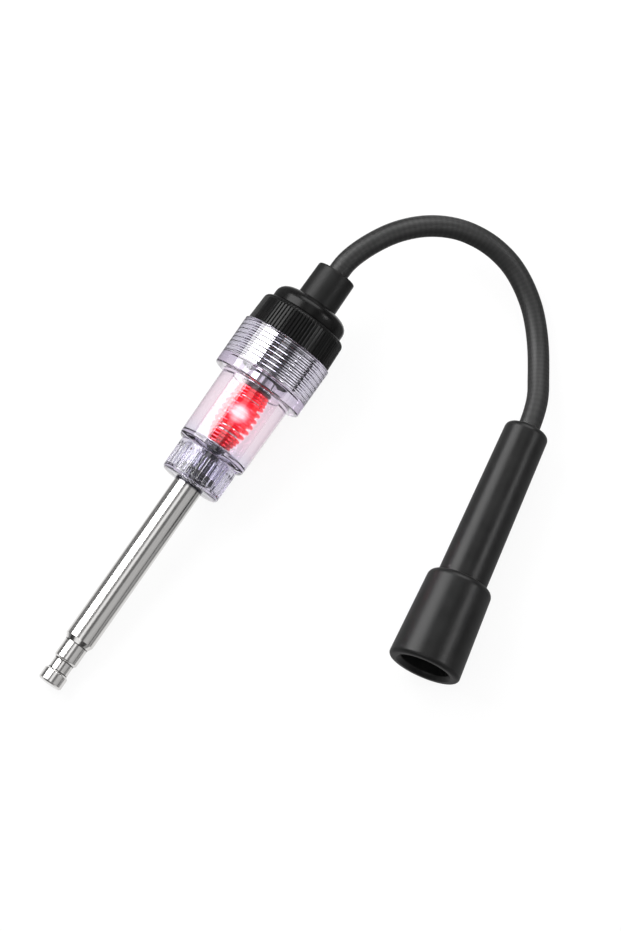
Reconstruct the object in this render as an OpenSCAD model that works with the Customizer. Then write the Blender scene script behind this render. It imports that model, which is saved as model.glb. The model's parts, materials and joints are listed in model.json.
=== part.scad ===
// In-line spark plug tester: a clear lamp barrel between a steel probe and a rubber plug boot.
// The body lies on its side, touching the floor at the probe's tip and at the rim of the clear head.
// Sizes along the body are measured from the probe's tip towards the lead.

/* [Probe rod] */
// Diameter of the terminal head at the tip
tip_d = 6.35; // [5.5:0.05:7]
// Length of the terminal head
tip_len = 3.5; // [2.5:0.1:5]
// Diameter of the neck behind the head
neck_d = 5.2; // [4:0.1:5.4]
// Length of the neck
neck_len = 3.1; // [2:0.1:5]
// Diameter of the step between neck and rod
step_d = 6.2; // [5.6:0.1:7]
// Length of the step
step_len = 5.1; // [3:0.1:8]
// Diameter of the rod
rod_d = 7.6; // [7.2:0.1:8]
// Length of the cone from the step up to the rod's full diameter
rod_cone = 1.2; // [0.6:0.1:2]
// Bare length of the rod below the collar nut
rod_len = 46.4; // [30:0.2:70]
// Chamfer on the edges of the tip
tip_chamfer = 0.4; // [0.2:0.05:0.6]
// Diameter of the flange that the collar nut pulls on
flange_d = 11; // [10:0.1:11.2]
// Thickness of that flange
flange_len = 1.2; // [0.8:0.1:2]
// Diameter of the stud that reaches through the barrel floor
stud_d = 5; // [4:0.1:6]
// Thickness of the sealing washer on the flange
rod_washer_len = 0.8; // [0.5:0.1:1.2]
// Width of the sealing washer's ring
rod_washer_w = 2.4; // [1.5:0.1:2.6]

/* [Collar nut] */
// Outside diameter of the collar nut
collar_d = 16; // [15.6:0.1:18]
// Length of the collar nut
collar_len = 8.7; // [8:0.1:11]
// Thickness of the lip that carries the rod's flange
collar_lip = 1.5; // [1:0.1:2]
// Rounding of the lower edge
collar_round = 0.9; // [0.3:0.1:1.2]
// Number of flutes around the nut
collar_flutes = 32; // [20:1:36]
// Width of one flute
collar_flute_w = 0.8; // [0.5:0.05:1]
// Depth of one flute
collar_flute_depth = 0.35; // [0.2:0.05:0.5]
// Plain rim left above and below the flutes
collar_rim = 1.3; // [0.8:0.1:2]
// Outside diameter of the thread on the housing's spigot
spigot_d = 12.4; // [12:0.1:12.8]

/* [Clear housing] */
// Diameter of the barrel at its foot
barrel_foot_d = 18.4; // [17.5:0.1:19]
// Diameter of the barrel under the head
barrel_top_d = 18.9; // [18:0.1:20]
// Length of the barrel
barrel_len = 20; // [18:0.2:30]
// Bore of the barrel
barrel_bore = 13.4; // [12:0.1:14]
// Thickness of the barrel floor
floor_len = 2.1; // [1.5:0.1:3]
// Rounding of the barrel's lower edge
barrel_round = 1.3; // [0.5:0.1:2]
// Diameter of the head at its foot
head_foot_d = 24.2; // [23.5:0.1:26]
// Diameter of the head at its top
head_top_d = 24.4; // [23.5:0.1:26]
// Length of the head
head_len = 13.4; // [12.5:0.1:16]
// Plain band of the head below its thread
head_band = 3.4; // [2.5:0.1:4]
// Rounding of the head's lower edge
head_round = 0.8; // [0.3:0.1:1.2]

/* [Cap nut] */
// Diameter of the knurled ring at its foot
ring_foot_d = 23.4; // [22.8:0.1:24]
// Diameter of the knurled ring at its top
ring_top_d = 22.8; // [22:0.1:23.6]
// Length of the knurled ring
ring_len = 7.7; // [6:0.1:10]
// Rounding of the ring's upper edge
ring_round = 1.3; // [0.5:0.1:1.6]
// Number of grooves around the ring
ring_grooves = 78; // [48:1:90]
// Depth of one groove
ring_groove_depth = 0.4; // [0.2:0.05:0.5]
// Share of each groove pitch that is cut away
ring_groove_share = 0.5; // [0.3:0.05:0.7]
// Thickness of the web that presses on the lead plug
web_len = 2.5; // [1.5:0.1:3.5]
// Length of the threaded skirt inside the head
skirt_len = 6; // [5:0.1:7]
// Outside diameter of the thread on the skirt
skirt_d = 19.9; // [19.4:0.1:20.2]

/* [Threads] */
// Axial travel for one full turn
pitch = 1.25; // [1.2:0.05:1.5]
// Height of a thread ridge
ridge_depth = 0.7; // [0.5:0.05:0.75]
// Width of a ridge at its root
ridge_root = 0.65; // [0.5:0.05:0.75]
// Width of a ridge at its crest
ridge_crest = 0.25; // [0.2:0.05:0.35]
// Gap between a crest and the root that faces it
thread_gap = 0.25; // [0.2:0.01:0.35]

/* [Lead end] */
// Diameter of the domed shoulder
dome_d = 19.8; // [18:0.1:21]
// Height of the domed shoulder
dome_len = 4.5; // [3.5:0.1:6]
// Straight height of the shoulder before it rounds in
dome_wall = 1.6; // [0.8:0.1:2.5]
// Width of the flat on top of the shoulder, beside the sleeve
dome_flat = 1; // [0.4:0.1:2]
// Diameter of the sleeve where it leaves the shoulder
sleeve_foot_d = 10.6; // [10:0.1:11]
// Diameter of the sleeve at its free end
sleeve_top_d = 10.3; // [9.6:0.1:11]
// Bare length of the sleeve
sleeve_len = 9.2; // [6:0.2:20]
// Rounding of the sleeve's free edge
sleeve_round = 0.5; // [0.2:0.1:0.8]
// Depth that the sleeve is set into the shoulder
sleeve_set = 2; // [1.5:0.1:3]
// Diameter of the plug's stem inside the shoulder
stem_d = 12; // [11.4:0.1:13]
// Diameter of the plug's flange on the seal ring
plug_flange_d = 18; // [17:0.1:18.2]
// Thickness of the plug's flange
plug_flange_len = 2; // [1.5:0.1:2.5]
// Thickness of the seal ring under the flange
seal_len = 1; // [0.6:0.1:1.4]
// Diameter of the contact cylinder
contact_d = 8.1; // [7:0.1:9]
// Length of the contact cylinder below the plug
contact_len = 4.1; // [3.5:0.1:5]
// Diameter of the contact's stem in the plug
contact_stem_d = 4; // [3:0.1:4.2]
// Length of the contact's stem in the plug
contact_stem_len = 5.6; // [5:0.1:6]
// Length of the crimp ferrule
ferrule_len = 7; // [6:0.1:8]
// Thickness of the insulating washer under the contact
contact_washer_len = 0.6; // [0.4:0.1:1]

/* [Lamp] */
// Wire diameter of the spring
spring_wire = 0.85; // [0.75:0.05:0.9]
// Outside diameter of the spring's lowest coil
spring_foot_d = 6.2; // [6:0.1:6.6]
// Outside diameter of the spring at its widest
spring_mid_d = 9.9; // [9.4:0.1:10.6]
// Outside diameter of the spring's highest coil
spring_top_d = 8.4; // [8.3:0.1:9]
// Close coils at the foot
spring_foot_coils = 4; // [3:1:6]
// Open coils in the middle
spring_open_coils = 6; // [5:1:8]
// Close coils at the top
spring_top_coils = 3; // [2:1:4]
// Diameter of the disc that the spring stands on
seat_d = 8.8; // [7.5:0.1:10]
// Thickness of that disc
seat_len = 0.6; // [0.4:0.1:1]
// Height of the boss inside the lowest coils
seat_boss = 1; // [0.6:0.1:1.6]
// Outside diameter of the lamp's glass tube
glass_d = 5.6; // [5:0.1:5.7]
// Wall of the glass tube
glass_wall = 0.4; // [0.3:0.05:0.6]
// Height of each metal end cap
lamp_cap_len = 2.2; // [1.5:0.1:3]
// Wall of each metal end cap
lamp_cap_wall = 0.25; // [0.2:0.05:0.3]
// Length of the lower cap's foot, from the seat's boss to the cap
lamp_foot_len = 2.6; // [2.4:0.1:3.2]
// Length of the upper cap's nib, up to the contact
lamp_nib_len = 1.6; // [1.4:0.1:2]
// Diameter of the lower cap's foot and of the upper cap's nib
lamp_pin_d = 1.4; // [1:0.1:1.8]
// Diameter of the electrodes
electrode_d = 1; // [0.6:0.1:1.4]
// Gap between the two electrodes
spark_gap = 1; // [0.4:0.1:2]

/* [Lead] */
// Diameter of the lead
lead_d = 5.4; // [5:0.1:5.6]
// Diameter of the lead's core
core_d = 2.4; // [1.6:0.1:2.8]

/* [Boot] */
// Length of the boot's narrow tube
tube_len = 42.2; // [36:0.2:50]
// Diameter of the narrow tube at the lead's end
tube_top_d = 11.2; // [10.8:0.1:13]
// Diameter of the narrow tube at the shoulder
tube_foot_d = 12.6; // [12:0.1:14]
// Length of the wide mouth section
mouth_len = 24; // [18:0.2:30]
// Diameter of the mouth section at the shoulder
mouth_top_d = 16.7; // [16.4:0.1:18]
// Diameter of the mouth section at its open end
mouth_foot_d = 18.4; // [17.6:0.1:20]
// Bore of the mouth
mouth_bore = 12.4; // [11.5:0.1:13]
// Rounding of the boot's end at the lead
boot_top_round = 1.6; // [0.8:0.1:2]
// Rounding of the boot's shoulder
shoulder_round = 1.9; // [1:0.1:2]
// Rounding of the lip
lip_round = 1; // [0.4:0.1:1.4]
// Turn of the boot away from the body's direction, in degrees
boot_turn = 11.7; // [5:0.1:20]
// Reach of the terminal socket past the boot's shoulder
socket_reach = 1; // [0.4:0.1:2]
// Bore of the terminal socket
socket_bore = 6.45; // [6.2:0.05:6.8]
// Wall of the terminal socket
socket_wall = 0.75; // [0.6:0.05:0.9]
// Depth of the terminal socket
socket_len = 11.2; // [9:0.1:13]
// Thickness of the terminal's closed end
socket_end = 1.6; // [1:0.1:2.5]
// Outside diameter of the terminal's crimp barrel
crimp_d = 5; // [4.6:0.1:5.4]
// Length of the crimp barrel
crimp_len = 7; // [5:0.1:8]
// Depth of the clip's groove below the socket's mouth
clip_depth = 5.4; // [4:0.1:7]
// Wire diameter of the clip
clip_wire = 0.6; // [0.5:0.05:0.65]
// Part of a circle that the clip covers, in degrees
clip_span = 300; // [270:5:330]

/* [Fits] */
// Radial gap of pieces that turn or slide past each other
turn_gap = 0.25; // [0.15:0.01:0.3]
// Radial running gap of the collar nut on the rod
rod_gap = 0.1; // [0.05:0.01:0.1]
// Gap of pieces that are pressed or seated together
seat_gap = 0.03; // [0.02:0.01:0.05]
// Axial gap between faces that turn on each other
face_gap = 0.1; // [0.05:0.01:0.2]

/* [Hidden] */

// Smoothness of turned surfaces, of an arc in an outline, and of a thread ridge over one turn
$fn = 96;
arc_steps = 6;
thread_steps = 32;
// Depth that a ridge is sunk into the wall that carries it
ridge_sink = 0.15;
// Share of a turn that a ridge stops short of the end of its wall
ridge_stop = 0.5;
// Steps around one coil of the spring, and sides of its wire
coil_steps = 16;
wire_sides = 6;

// Places along the body, from the tip
neck_at = tip_len;
step_at = neck_at + neck_len;
cone_at = step_at + step_len;
rod_at = cone_at + rod_cone;
collar_at = rod_at + rod_len;
flange_at = collar_at + collar_lip + face_gap;
rod_washer_at = flange_at + flange_len + seat_gap;
spigot_at = rod_washer_at + rod_washer_len + seat_gap;
barrel_at = collar_at + collar_len;
floor_at = barrel_at + floor_len;
head_at = barrel_at + barrel_len;
ledge_at = head_at + head_band;
ring_at = head_at + head_len;
skirt_at = ring_at - skirt_len;
dome_at = ring_at + ring_len;
sleeve_at = dome_at + dome_len;
exit_at = sleeve_at + sleeve_len;

// Radii of the two screw threads: core and crest of the male, crest and root of the female
skirt_core_r = skirt_d / 2 - ridge_depth;
head_crest_r = skirt_core_r + thread_gap;
head_root_r = skirt_d / 2 + thread_gap;
spigot_core_r = spigot_d / 2 - ridge_depth;
collar_crest_r = spigot_core_r + thread_gap;
collar_root_r = spigot_d / 2 + thread_gap;

// Lie of the body: its tip and the rounded rim of its head both touch the floor
tip_rest = [tip_chamfer, tip_d / 2];
rim_rest = [head_at + head_round, head_foot_d / 2 - head_round];
rest_span = rim_rest - tip_rest;
tilt = atan(rest_span[1] / rest_span[0]) + asin(head_round / norm(rest_span));
tip_height = tip_rest[1] * cos(tilt) - tip_rest[0] * sin(tilt);

// Middle of the body's length in plan, without the lead and the boot
body_back = -(tip_d / 2 - tip_chamfer) * sin(tilt);
body_front = (exit_at - sleeve_round) * cos(tilt)
    + (sleeve_top_d / 2 - sleeve_round) * sin(tilt) + sleeve_round;
body_mid = (body_back + body_front) / 2;

// Point on the body's axis
function on_body(at) = [at * cos(tilt) - body_mid, 0, tip_height + at * sin(tilt)];

// Lie of the boot: its mouth section rests on the floor along its side
boot_len = tube_len + mouth_len;
boot_tilt = atan((mouth_foot_d - mouth_top_d) / 2 / mouth_len);
boot_height = mouth_top_d / 2 / cos(boot_tilt) - tube_len * sin(boot_tilt);
// Place of the boot's end in plan, seen from the lead's exit
boot_place = [-3.7, -59.5];
boot_end = on_body(exit_at) + [boot_place[0], boot_place[1], 0];

// Point on the boot's axis, from its end at the lead towards its mouth
function on_boot(at) = [boot_end[0], boot_end[1], boot_height]
    + at * [-cos(boot_tilt) * cos(boot_turn), -cos(boot_tilt) * sin(boot_turn), sin(boot_tilt)];

// Places inside the lead plug
plug_at = ledge_at + seal_len + 2 * seat_gap;
web_at = dome_at - web_len;
plug_top = web_at - face_gap;
stem_top = sleeve_at - sleeve_set;
ferrule_at = plug_at + contact_stem_len / 2;
ferrule_mid = plug_at + contact_stem_len + seat_gap;
ferrule_top = ferrule_at + ferrule_len;
jacket_at = ferrule_top + seat_gap;
core_at = ferrule_mid + seat_gap;
lead_bore_r = lead_d / 2 + seat_gap;

// Places inside the barrel
seat_at = floor_at + seat_gap;
spring_at = seat_at + seat_len + seat_gap;
boss_top = seat_at + seat_len + seat_boss;
contact_at = plug_at - contact_len;
contact_washer_at = contact_at - contact_washer_len - seat_gap;
spring_top = contact_washer_at - seat_gap;
lamp_at = boss_top + lamp_foot_len;
lamp_top = contact_at - seat_gap - lamp_nib_len;
glass_at = lamp_at + lamp_cap_wall + seat_gap;
glass_top = lamp_top - lamp_cap_wall - seat_gap;
gap_mid = (glass_at + glass_top) / 2;
lamp_cap_r = glass_d / 2 + seat_gap + lamp_cap_wall;
lamp_pin_r = lamp_pin_d / 2;

// Places inside the boot, from its end at the lead
socket_mouth = tube_len + socket_reach;
socket_at = socket_mouth - socket_len;
crimp_at = socket_at - socket_end - crimp_len;
jacket_end = crimp_at - seat_gap;
socket_r = socket_bore / 2 + socket_wall;
clip_at = socket_mouth - clip_depth;
clip_r = socket_bore / 2 + clip_wire / 4;

// Route of the free lead: plan seen from its exit, height above the floor
lead_route = [[4, -0.3, 16], [8, -1.4, 16.2], [12, -3, 16.1], [16, -5, 15.6], [19.7, -7.5, 14.8],
    [23, -10.4, 13.7], [25.8, -13.8, 12.4], [27.9, -17.5, 11], [29.2, -21.4, 9.5], [29.8, -25.4, 8],
    [29.6, -29.4, 6.7], [28.8, -33, 5.5], [27.3, -36.5, 4.5], [25.4, -39.7, 3.7], [23.2, -42.6, 3.2],
    [20.7, -45.2, 2.9], [18, -47.6, 2.8], [15.2, -49.8, 2.9], [12.2, -51.9, 3.3], [9, -54, 4],
    [5.7, -56.1, 5], [2, -57.8, 6]];
lead_sides = 12;
exit_point = on_body(exit_at);
lead_points = concat([on_body(jacket_at), on_body((jacket_at + exit_at) / 2), exit_point],
    [for (p = lead_route) [exit_point[0] + p[0], p[1], p[2]]],
    [on_boot(0), on_boot(jacket_end / 2), on_boot(jacket_end)]);

// Shared helpers

// Points of an arc around a centre, from one angle to another
function arc(centre, r, from, to) =
    [for (i = [0 : arc_steps]) let (a = from + (to - from) * i / arc_steps) centre + r * [cos(a), sin(a)]];

// Puts what is drawn along +Z from the tip in the body's place
module on_body_axis() {
    translate([-body_mid, 0, tip_height]) rotate([0, 90 - tilt, 0]) children();
}

// Puts what is drawn along +Z from the boot's end in the boot's place
module on_boot_axis() {
    translate([boot_end[0], boot_end[1], boot_height])
        rotate([0, 0, boot_turn]) rotate([0, boot_tilt - 90, 0]) children();
}

// Turned piece from an outline of [radius, place along the axis]
module turned(outline) {
    rotate_extrude() polygon(outline);
}

// Plain tube along +Z
module tube(inner_r, outer_r, from, to) {
    turned([[inner_r, from], [outer_r, from], [outer_r, to], [inner_r, to]]);
}

// Right-handed thread ridge from its root radius to its crest radius, starting at a place on the axis
module thread(root_r, crest_r, at, turns) {
    out = crest_r > root_r ? 1 : -1;
    flank = (ridge_root - ridge_crest) / 2 / ridge_depth;
    half_root = ridge_root / 2 + flank * ridge_sink;
    half_crest = ridge_crest / 2;
    base_r = root_r - out * ridge_sink;
    section = [[base_r, -out * half_root], [crest_r, -out * half_crest],
        [crest_r, out * half_crest], [base_r, out * half_root]];
    steps = round(turns * thread_steps);
    points = [for (i = [0 : steps], q = section)
        let (a = 360 * i / thread_steps)
        [q[0] * cos(a), q[0] * sin(a), at + q[1] + pitch * i / thread_steps]];
    sides = [for (i = [0 : steps - 1], j = [0 : 3])
        let (k = (j + 1) % 4) [4 * i + j, 4 * i + k, 4 * i + 4 + k, 4 * i + 4 + j]];
    ends = [[3, 2, 1, 0], [for (j = [0 : 3]) 4 * steps + j]];
    polyhedron(points = points, faces = concat(sides, ends), convexity = 10);
}

// Closed tube of rings around a row of points, each ring square to the line through its neighbours
module swept(points, r, sides) {
    last = len(points) - 1;
    function along(i) = let (d = points[min(i + 1, last)] - points[max(i - 1, 0)]) d / norm(d);
    function level(d) = let (c = cross([0, 0, 1], d)) c / norm(c);
    rings = [for (i = [0 : last], j = [0 : sides - 1])
        let (d = along(i), s = level(d), u = cross(d, s), a = 360 * j / sides)
        points[i] + r * (cos(a) * s + sin(a) * u)];
    faces = [for (i = [0 : last - 1], j = [0 : sides - 1])
        let (k = (j + 1) % sides)
        [i * sides + j, i * sides + k, (i + 1) * sides + k, (i + 1) * sides + j]];
    ends = [[for (j = [sides - 1 : -1 : 0]) j], [for (j = [0 : sides - 1]) last * sides + j]];
    polyhedron(points = rings, faces = concat(faces, ends), convexity = 10);
}

// Probe end

module probe_rod() {
    tip_r = tip_d / 2;
    step_r = step_d / 2;
    color("gainsboro") on_body_axis() turned([[0, 0], [tip_r - tip_chamfer, 0], [tip_r, tip_chamfer],
        [tip_r, tip_len - tip_chamfer], [tip_r - tip_chamfer, tip_len], [neck_d / 2, tip_len],
        [neck_d / 2, step_at], [step_r - tip_chamfer, step_at], [step_r, step_at + tip_chamfer],
        [step_r, cone_at], [rod_d / 2, rod_at], [rod_d / 2, flange_at], [flange_d / 2, flange_at],
        [flange_d / 2, flange_at + flange_len], [stud_d / 2, flange_at + flange_len],
        [stud_d / 2, floor_at], [0, floor_at]]);
}

module rod_washer() {
    inner_r = stud_d / 2 + seat_gap;
    color("dimgray") on_body_axis()
        tube(inner_r, inner_r + rod_washer_w, rod_washer_at, rod_washer_at + rod_washer_len);
}

module collar_nut() {
    r = collar_d / 2;
    top = barrel_at - face_gap;
    lip_top = collar_at + collar_lip;
    ridge_from = thread_phase(spigot_ridge_at, lip_top);
    color("lavender", 0.5) on_body_axis() {
        difference() {
            turned(concat([[rod_d / 2 + rod_gap, collar_at]],
                arc([r - collar_round, collar_at + collar_round], collar_round, -90, 0),
                [[r, top], [collar_root_r, top], [collar_root_r, lip_top],
                    [rod_d / 2 + rod_gap, lip_top]]));
            for (i = [0 : collar_flutes - 1]) rotate(360 * i / collar_flutes)
                translate([r - collar_flute_depth, -collar_flute_w / 2, collar_at + collar_rim])
                    cube([2 * collar_flute_depth, collar_flute_w, top - collar_at - 2 * collar_rim]);
        }
        thread(collar_root_r, collar_crest_r, ridge_from, (top - ridge_from) / pitch - ridge_stop);
    }
}

// Clear housing

// Start of the spigot's ridge, and start of a ridge that runs half a pitch off another
spigot_ridge_at = spigot_at + ridge_root;
head_ridge_at = ledge_at + ridge_root;
function thread_phase(other_at, from) =
    other_at + pitch * (ceil((from + ridge_root - other_at) / pitch - 0.5) + 0.5);

module clear_housing() {
    foot_r = barrel_foot_d / 2;
    head_r = head_foot_d / 2;
    stud_r = stud_d / 2 + turn_gap;
    color("lavender", 0.5) on_body_axis() {
        turned(concat([[stud_r, spigot_at], [spigot_core_r, spigot_at], [spigot_core_r, barrel_at]],
            arc([foot_r - barrel_round, barrel_at + barrel_round], barrel_round, -90, 0),
            [[barrel_top_d / 2, head_at]],
            arc([head_r - head_round, head_at + head_round], head_round, -90, 0),
            [[head_top_d / 2, ring_at], [head_root_r, ring_at], [head_root_r, ledge_at],
                [barrel_bore / 2, ledge_at], [barrel_bore / 2, floor_at], [stud_r, floor_at]]));
        thread(head_root_r, head_crest_r, head_ridge_at, (ring_at - head_ridge_at) / pitch - ridge_stop);
        thread(spigot_core_r, spigot_d / 2, spigot_ridge_at,
            (barrel_at - spigot_ridge_at) / pitch - ridge_stop);
    }
}

// Lamp and spring

module spring_seat() {
    boss_r = spring_foot_d / 2 - spring_wire - 2 * seat_gap;
    pin_r = lamp_pin_r + seat_gap;
    color("silver") on_body_axis() turned([[0, seat_at], [seat_d / 2, seat_at],
        [seat_d / 2, seat_at + seat_len], [boss_r, seat_at + seat_len], [boss_r, boss_top],
        [pin_r, boss_top], [pin_r, boss_top - seat_boss], [0, boss_top - seat_boss]]);
}

module lamp_spring() {
    coils = spring_foot_coils + spring_open_coils + spring_top_coils;
    close_pitch = spring_wire + seat_gap;
    rise = spring_top - spring_at - spring_wire;
    open_pitch = (rise - close_pitch * (spring_foot_coils + spring_top_coils)) / spring_open_coils;
    foot_r = (spring_foot_d - spring_wire) / 2;
    mid_r = (spring_mid_d - spring_wire) / 2;
    top_r = (spring_top_d - spring_wire) / 2;
    // Height of the wire after a number of coils, and its radius at a share of the height
    function height(c) = close_pitch * min(c, spring_foot_coils)
        + open_pitch * min(max(c - spring_foot_coils, 0), spring_open_coils)
        + close_pitch * max(c - spring_foot_coils - spring_open_coils, 0);
    function radius(t) = t < 0.5 ? foot_r + (mid_r - foot_r) * sin(180 * t)
        : top_r + (mid_r - top_r) * sin(180 * t);
    wire = [for (i = [0 : coils * coil_steps])
        let (c = i / coil_steps, h = height(c), r = radius(h / rise))
        [r * cos(360 * c), r * sin(360 * c), spring_at + spring_wire / 2 + h]];
    color("tomato") on_body_axis() swept(wire, spring_wire / 2, wire_sides);
}

module lamp_glass() {
    color("mistyrose", 0.5) on_body_axis()
        tube(glass_d / 2 - glass_wall, glass_d / 2, glass_at, glass_top);
}

// Metal cup over one end of the glass, drawn with its closed end at zero
module lamp_cup(pin_len) {
    inner_r = lamp_cap_r - lamp_cap_wall;
    turned([[0, -pin_len], [lamp_pin_r, -pin_len], [lamp_pin_r, 0], [lamp_cap_r, 0],
        [lamp_cap_r, lamp_cap_len], [inner_r, lamp_cap_len], [inner_r, lamp_cap_wall],
        [0, lamp_cap_wall]]);
}

module lamp_lower_cap() {
    color("silver") on_body_axis() translate([0, 0, lamp_at])
        lamp_cup(lamp_foot_len + seat_boss - seat_gap);
}

module lamp_upper_cap() {
    color("silver") on_body_axis() translate([0, 0, lamp_top]) mirror([0, 0, 1])
        lamp_cup(lamp_nib_len);
}

// Electrode with a domed end at its tip, drawn from a cap towards the gap
module electrode(len) {
    r = electrode_d / 2;
    turned(concat([[0, 0], [r, 0]], arc([0, len - r], r, 0, 90)));
}

module lower_electrode() {
    from = lamp_at + lamp_cap_wall + seat_gap;
    color("dimgray") on_body_axis() translate([0, 0, from])
        electrode(gap_mid - spark_gap / 2 - from);
}

module upper_electrode() {
    from = lamp_top - lamp_cap_wall - seat_gap;
    color("dimgray") on_body_axis() translate([0, 0, from]) mirror([0, 0, 1])
        electrode(from - gap_mid - spark_gap / 2);
}

// Lead end

module contact_washer() {
    color("ivory") on_body_axis() tube(lamp_pin_r + turn_gap, spring_top_d / 2, contact_washer_at,
        contact_washer_at + contact_washer_len);
}

module top_contact() {
    edge = tip_chamfer;
    r = contact_d / 2;
    stem_r = contact_stem_d / 2;
    color("gainsboro") on_body_axis() turned([[0, contact_at], [r - edge, contact_at],
        [r, contact_at + edge], [r, plug_at - seat_gap], [stem_r, plug_at - seat_gap],
        [stem_r, plug_at + contact_stem_len], [0, plug_at + contact_stem_len]]);
}

module lead_ferrule() {
    wide_r = contact_stem_d / 2 + seat_gap;
    tight_r = core_d / 2 + seat_gap;
    outer_r = lead_d / 2 - seat_gap;
    color("goldenrod") on_body_axis() turned([[wide_r, ferrule_at], [outer_r, ferrule_at],
        [outer_r, ferrule_top], [tight_r, ferrule_top], [tight_r, ferrule_mid], [wide_r, ferrule_mid]]);
}

module seal_ring() {
    from = ledge_at + seat_gap;
    color("dimgray") on_body_axis()
        tube(barrel_bore / 2 + turn_gap, plug_flange_d / 2, from, from + seal_len);
}

module lead_plug() {
    body_r = plug_body_r;
    stem_r = contact_stem_d / 2 + seat_gap;
    color("darkslategray") on_body_axis() turned([[stem_r, plug_at], [plug_flange_d / 2, plug_at],
        [plug_flange_d / 2, plug_at + plug_flange_len], [body_r, plug_at + plug_flange_len],
        [body_r, plug_top], [stem_d / 2, plug_top], [stem_d / 2, stem_top], [lead_bore_r, stem_top],
        [lead_bore_r, ferrule_at - seat_gap], [stem_r, ferrule_at - seat_gap]]);
}

// The plug's body slides in the skirt, whose wall is two ridge depths thick under the thread
skirt_bore_r = skirt_core_r - 2 * ridge_depth;
plug_body_r = skirt_bore_r - turn_gap;

module cap_nut() {
    foot_r = ring_foot_d / 2;
    top_r = ring_top_d / 2;
    ring_from = ring_at + face_gap;
    web_bore_r = stem_d / 2 + turn_gap;
    ridge_from = thread_phase(head_ridge_at, skirt_at);
    color([0.09, 0.09, 0.1]) on_body_axis() {
        turned([[skirt_bore_r, skirt_at], [skirt_core_r, skirt_at], [skirt_core_r, ring_from + face_gap],
            [skirt_bore_r, ring_from + face_gap]]);
        difference() {
            turned(concat([[skirt_bore_r, ring_from], [foot_r, ring_from]],
                arc([top_r - ring_round, dome_at - ring_round], ring_round, 0, 90),
                [[web_bore_r, dome_at], [web_bore_r, web_at], [skirt_bore_r, web_at]]));
            ring_knurl(ring_from, foot_r);
        }
        thread(skirt_core_r, skirt_d / 2, ridge_from, (ring_from - ridge_from) / pitch - ridge_stop);
    }
}

// Wedges that cut the grooves of the knurled ring
module ring_knurl(from, r) {
    half = 180 / ring_grooves * ring_groove_share;
    root_r = ring_top_d / 2 - ring_groove_depth;
    outer_r = r + ring_groove_depth;
    for (i = [0 : ring_grooves - 1]) rotate(360 * i / ring_grooves)
        translate([0, 0, from - face_gap]) linear_extrude(ring_len + 2 * face_gap)
            polygon([[root_r, 0], [outer_r * cos(half), -outer_r * sin(half)],
                [outer_r * cos(half), outer_r * sin(half)]]);
}

module lead_cap() {
    r = dome_d / 2;
    from = dome_at + face_gap;
    stem_r = stem_d / 2 + seat_gap;
    neck_r = sleeve_foot_d / 2 + seat_gap;
    flat_r = neck_r + dome_flat;
    bend = [for (i = [0 : arc_steps]) let (a = 90 * i / arc_steps)
        [flat_r + (r - flat_r) * cos(a), from + dome_wall + (sleeve_at - from - dome_wall) * sin(a)]];
    color([0.09, 0.09, 0.1]) on_body_axis() turned(concat([[stem_r, from], [r, from]], bend,
        [[neck_r, sleeve_at], [neck_r, stem_top + seat_gap], [stem_r, stem_top + seat_gap]]));
}

module strain_relief() {
    from = stem_top + seat_gap;
    top_r = sleeve_top_d / 2;
    color([0.13, 0.13, 0.13]) on_body_axis() turned(concat([[lead_bore_r, from],
        [sleeve_foot_d / 2, from], [sleeve_foot_d / 2, sleeve_at]],
        arc([top_r - sleeve_round, exit_at - sleeve_round], sleeve_round, 0, 90),
        [[lead_bore_r, exit_at]]));
}

// Lead

module lead_core() {
    color("peru") {
        on_body_axis() translate([0, 0, core_at]) cylinder(d = core_d, h = ferrule_top - core_at);
        on_boot_axis() translate([0, 0, jacket_end + seat_gap]) cylinder(d = core_d, h = crimp_len);
    }
}

module lead_jacket() {
    color([0.1, 0.1, 0.1]) swept(lead_points, lead_d / 2, lead_sides);
}

// Boot

module boot() {
    top_r = tube_top_d / 2;
    shoulder_r = mouth_top_d / 2;
    lip_r = mouth_foot_d / 2;
    bore_r = mouth_bore / 2;
    cavity_r = socket_r + seat_gap;
    cavity_end = socket_mouth + seat_gap;
    color([0.12, 0.12, 0.12]) on_boot_axis() turned(concat([[lead_bore_r, 0]],
        arc([top_r - boot_top_round, boot_top_round], boot_top_round, -90, 0),
        [[tube_foot_d / 2, tube_len]],
        arc([shoulder_r - shoulder_round, tube_len + shoulder_round], shoulder_round, -90, 0),
        arc([lip_r - lip_round, boot_len - lip_round], lip_round, 0, 90),
        [[bore_r + lip_round, boot_len], [bore_r, boot_len - lip_round], [bore_r, cavity_end],
            [cavity_r, cavity_end], [cavity_r, crimp_at], [lead_bore_r, crimp_at]]));
}

module boot_terminal() {
    bore_r = socket_bore / 2;
    core_r = core_d / 2 + seat_gap;
    groove_r = clip_r + clip_wire / 2 + seat_gap;
    groove_half = clip_wire / 2 + seat_gap;
    color("goldenrod") on_boot_axis() turned([[core_r, crimp_at + seat_gap],
        [crimp_d / 2, crimp_at + seat_gap], [crimp_d / 2, crimp_at + crimp_len],
        [socket_r, crimp_at + crimp_len], [socket_r, socket_mouth], [bore_r, socket_mouth],
        [bore_r, clip_at + groove_half], [groove_r, clip_at + groove_half],
        [groove_r, clip_at - groove_half], [bore_r, clip_at - groove_half], [bore_r, socket_at],
        [0, socket_at], [0, crimp_at + crimp_len + seat_gap], [core_r, crimp_at + crimp_len + seat_gap]]);
}

module terminal_clip() {
    color("silver") on_boot_axis() translate([0, 0, clip_at])
        rotate_extrude(angle = clip_span) translate([clip_r, 0]) circle(d = clip_wire, $fn = 24);
}

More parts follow.
